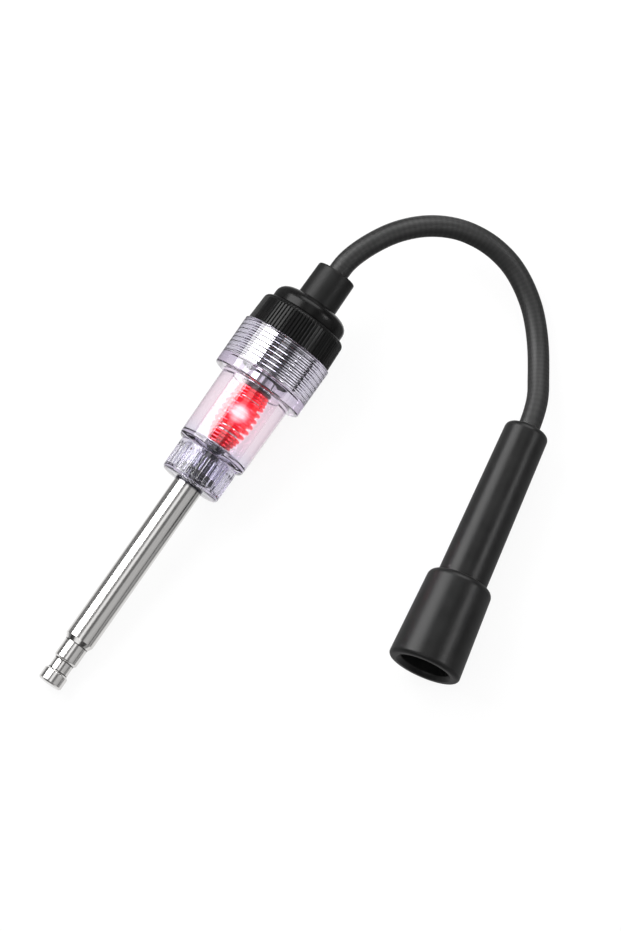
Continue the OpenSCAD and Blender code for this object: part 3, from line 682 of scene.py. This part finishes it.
def drop_straight_points(bm):
    """Removes the points of an outline that lie on a straight stretch."""
    spare = []
    for vert in bm.verts:
        if len(vert.link_edges) == 2:
            first, second = (edge.other_vert(vert).co - vert.co for edge in vert.link_edges)
            if math.pi - first.angle(second) < straight_angle:
                spare.append(vert)
    bmesh.ops.dissolve_verts(bm, verts=spare)


def turned_piece(node, place, material, steps=128, edge_round=0.0001):
    """Fine round copy of a turned CAD piece with its sharp edges broken."""
    bm = half_section(node, place)
    drop_straight_points(bm)
    bmesh.ops.spin(
        bm, geom=bm.verts[:] + bm.edges[:], cent=(0, 0, 0), axis=(0, 0, 1),
        angle=2 * math.pi, steps=steps, use_merge=True)
    bmesh.ops.remove_doubles(bm, verts=bm.verts, dist=merge_distance)
    bmesh.ops.recalc_face_normals(bm, faces=bm.faces)
    sharp = [edge for edge in bm.edges if edge.calc_face_angle(0) > bevel_angle]
    bmesh.ops.bevel(
        bm, geom=sharp, offset=edge_round, affect="EDGES", segments=3, profile=0.5,
        clamp_overlap=True, material=-1)
    return dress(bm, node, place, material)


print("sections are cut at", round(math.degrees(cut_angle)), "degrees around the axis")

# %% [markdown]
# The probe end: a steel rod with a stepped tip that copies a plug's terminal, and the sealing washer on
# its flange, which shows faintly through the collar nut.

# %% Probe rod
turned_piece("probe_rod", body_place, rod_steel, steps=192, edge_round=0.00012)
turned_piece("rod_washer", body_place, seal_rubber)

# %% [markdown]
# Inside the barrel the lamp stands on a plated seat, with a metal cap for each end of its glass and two
# electrodes that leave a gap in the middle. Above it are an insulating washer and the chrome contact.

# %% Lamp and contacts
for node, finish in (
        ("spring_seat", plated_steel), ("lamp_lower_cap", plated_steel),
        ("lamp_upper_cap", plated_steel), ("lower_electrode", electrode_metal),
        ("upper_electrode", electrode_metal), ("contact_washer", insulator), ("top_contact", contact_chrome),
        ("lead_ferrule", ferrule_brass), ("seal_ring", seal_rubber), ("lead_plug", plug_plastic)):
    turned_piece(node, body_place, finish, steps=96, edge_round=0.00006)

# %% [markdown]
# The lead end: a polished black shoulder with a domed edge, and the satin rubber sleeve that keeps the
# lead from kinking.

# %% Shoulder and sleeve
turned_piece("lead_cap", body_place, gloss_black, steps=192, edge_round=0.00015)
turned_piece("strain_relief", body_place, sleeve_rubber, edge_round=0.00012)

# %% [markdown]
# The boot is one rubber moulding: a slim tube, a rounded shoulder and a wide mouth. Deep in the mouth sits
# the brass terminal with a wire clip that grips a spark plug.

# %% Boot, terminal and clip
boot = turned_piece("boot", boot_place, boot_rubber, steps=192, edge_round=0.0003)
terminal = turned_piece("boot_terminal", boot_place, terminal_brass, steps=96, edge_round=0.00008)
clip_wire = 0.0006
clip_span = math.radians(300)
clip_low, clip_high = ends("terminal_clip", boot_place)
clip_radius = 0.003375
clip_steps = 60
clip_middle = (clip_low + clip_high) / 2
clip_path = [
    boot_place @ Vector((clip_radius * math.cos(turn), clip_radius * math.sin(turn), clip_middle))
    for turn in (clip_span * step / clip_steps for step in range(clip_steps + 1))]
clip_mesh = wire_mesh("terminal_clip_piece", clip_path, clip_wire, roundness=4)
clip = dress_mesh(clip_mesh, "terminal_clip", clip_steel)
core = frame["nodes"]["lead_core"]
core.data.materials.clear()
core.data.materials.append(core_copper)
print("clip of", len(clip.data.polygons), "faces in the boot")

# %% [markdown]
# Three pieces carry screw threads, and two of them flutes or grooves as well. They start as a spun outline
# whose threaded walls have many rows. A thread is then a push of those rows, in or out, by a tooth shape
# that climbs one pitch in each turn. This gives one closed skin, which clear plastic needs: a ridge that is
# sunk into a wall would show its hidden faces. The flanks slope at 45 degrees, so that the clear thread
# throws light back as a prism does and shows as fine lines.

# %% Outlines with round corners and threaded walls
pitch = 2 * math.pi / record["behaviour"]["couplings"][0]["ratio"]
rows_per_pitch = 16
ridge_depth = 0.0004
ridge_root = 0.001
ridge_crest = 0.0002


def rounded(corners, steps=4):
    """Outline through (radius, place, rounding) corners, each rounded by an arc."""
    points = []
    for index, (radius, along, rounding) in enumerate(corners):
        corner = Vector((radius, along))
        if not rounding:
            points.append(corner)
            continue
        before = (Vector(corners[index - 1][:2]) - corner).normalized()
        after = (Vector(corners[(index + 1) % len(corners)][:2]) - corner).normalized()
        half = before.angle(after) / 2
        centre = corner + (before + after).normalized() * rounding / math.sin(half)
        start = corner + before * rounding / math.tan(half) - centre
        end = corner + after * rounding / math.tan(half) - centre
        turn = start.angle_signed(end)
        for step in range(steps + 1):
            points.append(centre + Matrix.Rotation(-turn * step / steps, 2) @ start)
    return points


def wall_rows(radius, start, end, rows=rows_per_pitch):
    """Corners of a straight wall with many rows in each pitch, for a thread."""
    count = round(abs(end - start) / pitch * rows)
    return [(radius, start + (end - start) * row / count, 0) for row in range(count + 1)]


def lathe(outline, steps):
    """Bmesh spun from a closed outline of (radius, place) points."""
    bm = bmesh.new()
    verts = [bm.verts.new((radius, 0, along)) for radius, along in outline]
    edges = [bm.edges.new((verts[index - 1], verts[index])) for index in range(len(verts))]
    bmesh.ops.spin(
        bm, geom=verts + edges, cent=(0, 0, 0), axis=(0, 0, 1), angle=2 * math.pi, steps=steps,
        use_merge=True)
    return bm


def smooth_step(low, high, value):
    """Smooth change from 0 to 1 between two values."""
    share = min(max((value - low) / (high - low), 0), 1)
    return share * share * (3 - 2 * share)


def cut_thread(bm, wall, start, end, ridge_start, depth):
    """Pushes the rows of a wall out, or in, where a right-handed ridge runs."""
    run_out = pitch / 2
    for vert in bm.verts:
        radius = vert.co.xy.length
        if abs(radius - wall) > merge_distance or not start <= vert.co.z <= end:
            continue
        turn = math.atan2(vert.co.y, vert.co.x) / (2 * math.pi)
        place = (vert.co.z - ridge_start) / pitch - turn
        off = abs(place - round(place)) * pitch
        tooth = min(max((ridge_root / 2 - off) / (ridge_root / 2 - ridge_crest / 2), 0), 1)
        tooth *= smooth_step(start, start + run_out, vert.co.z) * smooth_step(end, end - run_out, vert.co.z)
        vert.co.xy *= (radius + depth * tooth) / radius


thread_sharp = 60
print("thread pitch", round(pitch * 1000, 3), "mm")

# %% [markdown]
# The clear housing is one moulding: a threaded spigot at the foot, the thick-walled lamp barrel, and the
# wide head whose inside thread takes the screw cap. The spigot's thread is only slight here, because the
# photograph shows the foot clear, with the dark metal inside it.

# %% Clear housing
stud_bore = 0.00275
spigot_core = 0.0055
spigot_start, head_top = ends("clear_housing", body_place)
barrel_start = 0.068
barrel_foot, barrel_top, barrel_bore = 0.0092, 0.00945, 0.0067
barrel_floor = 0.0701
head_start = 0.088
head_foot, head_rim = 0.0121, 0.0122
thread_root = 0.0102
ledge = 0.0914
foot_thread_depth = 0.00003
spigot_ridge = spigot_start + ridge_root
head_ridge = ledge + ridge_root
head_rows = 24
wall_margin = 0.0004

housing_outline = rounded(
    [(stud_bore, spigot_start, 0.0001), (spigot_core, spigot_start, 0.0002)]
    + wall_rows(spigot_core, spigot_start + wall_margin, barrel_start - wall_margin)
    + [(spigot_core, barrel_start, 0.0002), (barrel_foot, barrel_start, 0.0013),
        (barrel_top, head_start, 0.0003), (head_foot, head_start, 0.0005),
        (head_rim, head_top, 0.00025), (thread_root, head_top, 0.00025)]
    + wall_rows(thread_root, head_top - wall_margin, ledge + wall_margin, head_rows)
    + [(thread_root, ledge, 0.0003), (barrel_bore, ledge, 0.0003), (barrel_bore, barrel_floor, 0.0006),
        (stud_bore, barrel_floor, 0.0001)])
housing = lathe(housing_outline, steps=192)
cut_thread(housing, spigot_core, spigot_start, barrel_start, spigot_ridge, foot_thread_depth)
cut_thread(housing, thread_root, ledge, head_top, head_ridge, -ridge_depth)
dress(housing, "clear_housing", body_place, clear_plastic, thread_sharp)

# %% [markdown]
# The collar nut is clear too. Thirty-two narrow flutes run along it between two plain rims, a lip at its
# foot holds the rod's flange, and its inside thread meshes with the housing's spigot.

# %% Collar nut
collar_bore = 0.0039
collar_radius = 0.008
collar_root = 0.00645
collar_low, collar_high = ends("collar_nut", body_place)
collar_lip = 0.0015
collar_rim = 0.0013
flutes = 32
flute_share = 0.5
flute_depth = 0.00022
flute_end = 0.0002
flute_edge = 0.2
flute_steps = 16
nut_margin = 0.0003
# Ridges that mesh stand half a pitch apart
collar_ridge = spigot_ridge - 1.5 * pitch


def off_middle(vert, count):
    """How far a point is from the nearest of many equal flutes: 0 in its middle, 1 halfway to the next."""
    turn = math.atan2(vert.co.y, vert.co.x) / (2 * math.pi) * count
    return abs(turn - round(turn)) * 2


collar_outline = rounded(
    [(collar_bore, collar_low, 0.00015), (collar_radius, collar_low, 0.0009)]
    + [(collar_radius, collar_low + collar_rim + step * flute_end / 2, 0) for step in range(3)]
    + [(collar_radius, collar_high - collar_rim - step * flute_end / 2, 0) for step in (2, 1, 0)]
    + [(collar_radius, collar_high, 0.00025), (collar_root, collar_high, 0.0002)]
    + wall_rows(collar_root, collar_high - nut_margin, collar_low + collar_lip + nut_margin)
    + [(collar_root, collar_low + collar_lip, 0.0002), (collar_bore, collar_low + collar_lip, 0.0001)])
collar = lathe(collar_outline, flutes * flute_steps)
cut_thread(collar, collar_root, collar_low + collar_lip, collar_high, collar_ridge, -foot_thread_depth)
for vert in collar.verts:
    radius = vert.co.xy.length
    low_edge, high_edge = collar_low + collar_rim, collar_high - collar_rim
    if abs(radius - collar_radius) < merge_distance and low_edge <= vert.co.z <= high_edge:
        off = off_middle(vert, flutes)
        share = 1 - smooth_step(flute_share - flute_edge, flute_share + flute_edge, off)
        share *= smooth_step(low_edge, low_edge + flute_end, vert.co.z)
        share *= smooth_step(high_edge, high_edge - flute_end, vert.co.z)
        vert.co.xy *= (radius - flute_depth * share) / radius
dress(collar, "collar_nut", body_place, clear_plastic, thread_sharp)

# %% [markdown]
# The cap nut is polished black plastic. Its ring has 78 fine grooves for the fingers, which run out in the
# rounded upper edge, and its threaded skirt screws into the head, where it shows through the clear wall.

# %% Cap nut
skirt_bore, skirt_core = 0.00785, 0.00925
skirt_low, cap_high = ends("cap_nut", body_place)
ring_low = 0.1015
ring_foot, ring_top = 0.0117, 0.0114
web_bore, web_low = 0.00625, 0.1066
groove_count = 78
groove_depth = 0.00024
groove_share = 0.5
groove_steps = 8
groove_sharp = 40
cap_ridge = head_ridge + 3.5 * pitch

cap_outline = rounded(
    [(skirt_bore, skirt_low, 0.0002), (skirt_core, skirt_low, 0.0002)]
    + wall_rows(skirt_core, skirt_low + nut_margin, ring_low - nut_margin)
    + [(skirt_core, ring_low, 0.0001), (ring_foot, ring_low, 0.00012), (ring_top, cap_high, 0.0013),
        (web_bore, cap_high, 0.0002), (web_bore, web_low, 0.0002), (skirt_bore, web_low, 0.0003)], steps=6)
cap = lathe(cap_outline, groove_count * groove_steps)
cut_thread(cap, skirt_core, skirt_low, ring_low, cap_ridge, ridge_depth)
for vert in cap.verts:
    radius = vert.co.xy.length
    wall = ring_foot + (ring_top - ring_foot) * (vert.co.z - ring_low) / (cap_high - ring_low)
    if radius > wall - groove_depth and vert.co.z >= ring_low - merge_distance:
        off = off_middle(vert, groove_count) / groove_share
        groove = wall - groove_depth * (1 - off)
        vert.co.xy *= min(radius, groove) / radius
dress(cap, "cap_nut", body_place, gloss_black, groove_sharp)

# %% [markdown]
# The lamp's glass swells a little between its caps, so that its red light fills the coils around it. Its
# outline goes up the outside and down the inside of the wall.

# %% Lamp bulb
glass_radius, glass_wall, glass_swell = 0.0028, 0.0004, 0.0012
swell_start, swell_end = ends("lamp_lower_cap", body_place)[1], ends("lamp_upper_cap", body_place)[0]
glass_rows = 40


def glass_wide(along):
    """Outer radius of the glass at a place on the axis."""
    share = min(max((along - swell_start) / (swell_end - swell_start), 0), 1)
    return glass_radius + glass_swell * math.sin(math.pi * share)


glass_places = [lamp_low + (lamp_high - lamp_low) * row / glass_rows for row in range(glass_rows + 1)]
glass_outline = [(glass_wide(along), along) for along in glass_places]
glass_outline += [(glass_wide(along) - glass_wall, along) for along in reversed(glass_places)]
dress(lathe(glass_outline, steps=96), "lamp_glass", body_place, lamp_glass)

# %% [markdown]
# The spring is barrel-shaped: close coils at both ends and open coils in the middle, where it bulges round
# the lamp. A curve that climbs and swells by formula, with a round bevel, makes the wire.

# %% Lamp spring
spring_gauge = 0.00085
foot_coils, open_coils, top_coils = 4, 6, 3
spring_radius = {"foot": 0.002675, "middle": 0.004525, "top": 0.003775}
seat_floor = 0.0006
spring_low = ends("spring_seat", body_place)[0] + seat_floor + seat_gap
spring_high = ends("contact_washer", body_place)[0] - seat_gap
close_pitch = spring_gauge + seat_gap
spring_rise = spring_high - spring_low - spring_gauge
open_pitch = (spring_rise - close_pitch * (foot_coils + top_coils)) / open_coils
coil_steps = 40


def spring_point(coil):
    """Point of the wire's middle after a number of coils."""
    height = close_pitch * min(coil, foot_coils)
    height += open_pitch * min(max(coil - foot_coils, 0), open_coils)
    height += close_pitch * max(coil - foot_coils - open_coils, 0)
    share = height / spring_rise
    end_radius = spring_radius["foot"] if share < 0.5 else spring_radius["top"]
    radius = end_radius + (spring_radius["middle"] - end_radius) * math.sin(math.pi * share)
    turn = 2 * math.pi * coil
    along = spring_low + spring_gauge / 2 + height
    return body_place @ Vector((radius * math.cos(turn), radius * math.sin(turn), along))


coil_count = foot_coils + open_coils + top_coils
spring_path = [spring_point(step / coil_steps) for step in range(coil_count * coil_steps + 1)]
spring_mesh = wire_mesh("lamp_spring_piece", spring_path, spring_gauge, roundness=4)
for face in spring_mesh.polygons:
    face.use_smooth = True
dress_mesh(spring_mesh, "lamp_spring", spring_wire)
print("spring of", coil_count, "coils,", len(spring_mesh.polygons), "faces")

# %% [markdown]
# The light is a plain studio: one bright soft box on the left of the body, weak ones above and on the
# right, and a little light from all round. The left box is moved towards the lead, where the rod, the
# barrel and the boot mirror it as one long white streak. Small boxes on the right, past the lead and past
# the tip light the far sides of the boot and of the lead, and the rod's cone.

# %% Soft boxes
box_distance = 0.5


def soft_box(name, heading, elevation, width, length, shift, brightness):
    """Rectangular soft light round the tester: heading 0 is past the lead and 90 is on the left."""
    heading = math.radians(heading)
    elevation = math.radians(elevation)
    level = math.cos(elevation)
    direction = Vector((level * math.cos(heading), level * math.sin(heading), math.sin(elevation)))
    box = bpy.data.lights.new(name, "AREA")
    box.shape = "RECTANGLE"
    box.size = length
    box.size_y = width
    box.energy = brightness * math.pi * width * length
    light = new_object(name, box)
    light.location = view_centre + direction * box_distance + Vector((shift, 0, 0))
    light.rotation_euler = direction.to_track_quat("Z", "Y").to_euler()
    print(name, round(box.energy, 2), "watts")


soft_box("left_box", heading=90, elevation=39.5, width=0.394, length=0.38, shift=0.04, brightness=8)
soft_box("top_box", heading=90, elevation=92, width=0.17, length=0.8, shift=0, brightness=1.05)
soft_box("right_box", heading=-90, elevation=31, width=0.466, length=0.8, shift=0, brightness=0.5)
soft_box("boot_box", heading=-90, elevation=38, width=0.11, length=0.2, shift=0.23, brightness=10)
soft_box("end_box", heading=10, elevation=32, width=0.25, length=0.4, shift=0, brightness=5)
soft_box("tip_box", heading=170, elevation=42, width=0.3, length=0.4, shift=0, brightness=1.2)

# %% [markdown]
# The table is plain and white. Seen directly, in a mirror or through glass it is lifted close to white,
# and what is left of its own shading keeps the soft shadow. Mirrored in steel and black plastic it is white
# only close under the body and dim beside it, which draws the fine dark lines along the rod's edges.

# %% Table
table_lift = 0.9
table_half = 3
table_drop = 0.00005
mirror_reach = 0.06
mirror_tones = [(-0.028, 0.35), (-0.022, 0.1), (-0.016, 0.1), (-0.013, 1), (0.014, 1), (0.02, 0.1)]
bm = bmesh.new()
bmesh.ops.create_grid(bm, x_segments=1, y_segments=1, size=table_half)
bmesh.ops.translate(bm, verts=bm.verts, vec=(0, 0, -table_drop))
table_mesh = bpy.data.meshes.new("table")
bm.to_mesh(table_mesh)
bm.free()
table = new_object("table", table_mesh)


def seen_straight(tree, kinds):
    """1 for the kinds of rays that look at the background, otherwise 0."""
    path = add(tree, "ShaderNodeLightPath").outputs
    value = path[kinds[0]]
    for kind in kinds[1:]:
        value = math_value(tree, "MAXIMUM", value, path[kind])
    return value


table_finish, table_tree, table_shader = new_finish("table_white")
feed(table_tree, table_shader, {"Base Color": grey(0.86), "Roughness": 0.9, "Specular IOR Level": 0.1})
table_parts = add(table_tree, "ShaderNodeSeparateXYZ", {0: coordinates(table_tree, "Object")})
table_side = add(table_tree, "ShaderNodeMapRange", {
    "Value": table_parts.outputs["Y"], "From Min": -mirror_reach, "From Max": mirror_reach})
table_tones = colour_ramp(table_tree, table_side.outputs["Result"], [
    (0.5 + side / mirror_reach / 2, grey(tone)) for side, tone in mirror_tones])
straight = seen_straight(table_tree, ["Is Camera Ray", "Is Transmission Ray"])
white = add(table_tree, "ShaderNodeEmission", {
    "Color": blend_colours(table_tree, straight, table_tones, grey(1)), "Strength": 1.0})
table_rays = seen_straight(table_tree, ["Is Camera Ray", "Is Glossy Ray", "Is Transmission Ray"])
lifted = math_value(table_tree, "MULTIPLY", table_rays, table_lift)
table_mix = add(table_tree, "ShaderNodeMixShader", {
    "Fac": lifted, 1: table_shader.outputs[0], 2: white.outputs[0]})
feed(table_tree, table_tree.nodes["Material Output"], {"Surface": table_mix.outputs[0]})
table_mesh.materials.append(table_finish)
print("table", table.dimensions.x, "m wide")

# %% [markdown]
# The room is white where the camera sees it. In reflections it is a dim studio, so that steel and plastic
# show dark edges beside the soft boxes. Through clear plastic it is white near the table and dim high up.
# Rays through plastic count as glossy too, so their tones come last.

# %% Room
room = bpy.data.worlds.new("room")
room.use_nodes = True
bpy.context.scene.world = room
room_tree = room.node_tree
room_rays = add(room_tree, "ShaderNodeLightPath")
room_height = add(room_tree, "ShaderNodeSeparateXYZ", {0: coordinates(room_tree, "Generated")}).outputs["Z"]
ambient = room_tree.nodes["Background"]
feed(room_tree, ambient, {"Color": grey(1), "Strength": 0.25})
room_view = ambient.outputs[0]
room_tones = {
    "Is Camera Ray": [(0.0, 1.0), (1.0, 1.0)],
    "Is Glossy Ray": [(0.0, 0.02), (0.15, 0.04), (0.45, 0.1), (1.0, 0.2)],
    "Is Transmission Ray": [(0.0, 1.0), (0.2, 0.8), (0.5, 0.25), (1.0, 0.25)],
}
for rays, tones in room_tones.items():
    stops = [(place, grey(tone)) for place, tone in tones]
    sky = add(room_tree, "ShaderNodeBackground", {
        "Color": colour_ramp(room_tree, room_height, stops), "Strength": 1.0})
    chosen = add(room_tree, "ShaderNodeMixShader", {
        "Fac": room_rays.outputs[rays], 1: room_view, 2: sky.outputs[0]})
    room_view = chosen.outputs[0]
feed(room_tree, room_tree.nodes["World Output"], {"Surface": room_view})
bpy.context.scene.view_settings.view_transform = "Standard"
print("room lit")
